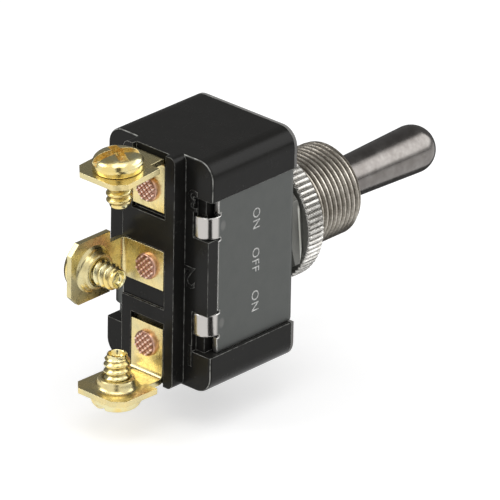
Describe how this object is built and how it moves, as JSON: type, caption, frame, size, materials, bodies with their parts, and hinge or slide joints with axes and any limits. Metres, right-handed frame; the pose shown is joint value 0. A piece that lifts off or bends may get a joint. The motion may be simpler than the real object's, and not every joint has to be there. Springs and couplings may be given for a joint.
{
  "type": "panel toggle switch",
  "caption": "Panel toggle switch: bat lever in a threaded bushing with hex and knurled nuts, steel frame clinched round a black moulded case, screw terminals on bent brass tabs.",
  "frame": {"origin": "on the bushing's axis where its free thread starts, 0.2 mm in front of the knurled nut", "axes": "+Y outwards along the bushing and the resting lever, +Z along the long side of the case in the plane of throw, +X across the case's width"},
  "size_m": [0.0172, 0.0592, 0.0338],
  "materials": {
    "phenolic": "moulded, semi-gloss",
    "fibre": "pressed fibre, dull",
    "frame_steel": "satin plated",
    "nickel": "nickel plated thread",
    "bright_nickel": "bright nickel",
    "dark_nickel": "polished dark nickel",
    "pin_steel": "plain drawn",
    "nylon": "natural moulded",
    "brass": "stamped, lightly tarnished",
    "copper": "headed copper",
    "contact_silver": "satin silver",
    "screw_brass": "bright brass plated"
  },
  "bodies": {
    "housing": {"case": "phenolic", "front_insulator": "fibre", "steel_frame": "frame_steel", "bushing": "nickel", "pivot_saddle": "brass", "terminal_1": "brass", "terminal_2": "brass", "terminal_3": "brass", "rivet_1": "copper", "rivet_2": "copper", "rivet_3": "copper", "fixed_contact_1": "contact_silver", "fixed_contact_3": "contact_silver"},
    "lever": {"lever": "dark_nickel", "lever_pin": "pin_steel", "plunger_spring": "pin_steel"},
    "plunger": {"plunger": "nylon"},
    "rocker": {"rocker": "brass", "rocker_contact_1": "contact_silver", "rocker_contact_3": "contact_silver"},
    "backing_nut": {"hex_nut": "bright_nickel"},
    "dress_nut": {"knurled_nut": "bright_nickel"},
    "screw_1": {"terminal_screw_1": "screw_brass"},
    "screw_2": {"terminal_screw_2": "screw_brass"},
    "screw_3": {"terminal_screw_3": "screw_brass"}
  },
  "joints": [
    {"name": "toggle", "type": "hinge", "parent": "housing", "child": "lever", "pos_m": [0, 0, 0], "axis": [1, 0, 0], "range_deg": [-12.5, 12.5]},
    {"name": "rocker_tilt", "type": "hinge", "parent": "housing", "child": "rocker", "pos_m": [0, -0.01515, 0], "axis": [1, 0, 0], "range_deg": [-6.25, 6.25]},
    {"name": "plunger_slide", "type": "slide", "parent": "lever", "child": "plunger", "axis": [0, 1, 0], "range_m": [0, 0.001], "stiffness_N_per_m": 300, "springref_m": -0.001, "deforming": ["plunger_spring"]},
    {"name": "hex_nut_run", "type": "slide", "parent": "housing", "child": "backing_nut", "axis": [0, 1, 0], "range_m": [0, 0.004]},
    {"name": "knurled_nut_run", "type": "slide", "parent": "backing_nut", "child": "dress_nut", "axis": [0, 1, 0], "range_m": [0, 0.0044]},
    {"name": "screw_1_run", "type": "slide", "parent": "housing", "child": "screw_1", "axis": [0, -0.0175, -0.9998], "range_m": [0, 0.0035]},
    {"name": "screw_2_run", "type": "slide", "parent": "housing", "child": "screw_2", "axis": [-1, 0, 0], "range_m": [0, 0.0035]},
    {"name": "screw_3_run", "type": "slide", "parent": "housing", "child": "screw_3", "axis": [0, -0.0698, 0.9976], "range_m": [0, 0.0035]}
  ],
  "couplings": [
    {"joint": "rocker_tilt", "follows": "toggle", "ratio": -0.5}
  ]
}
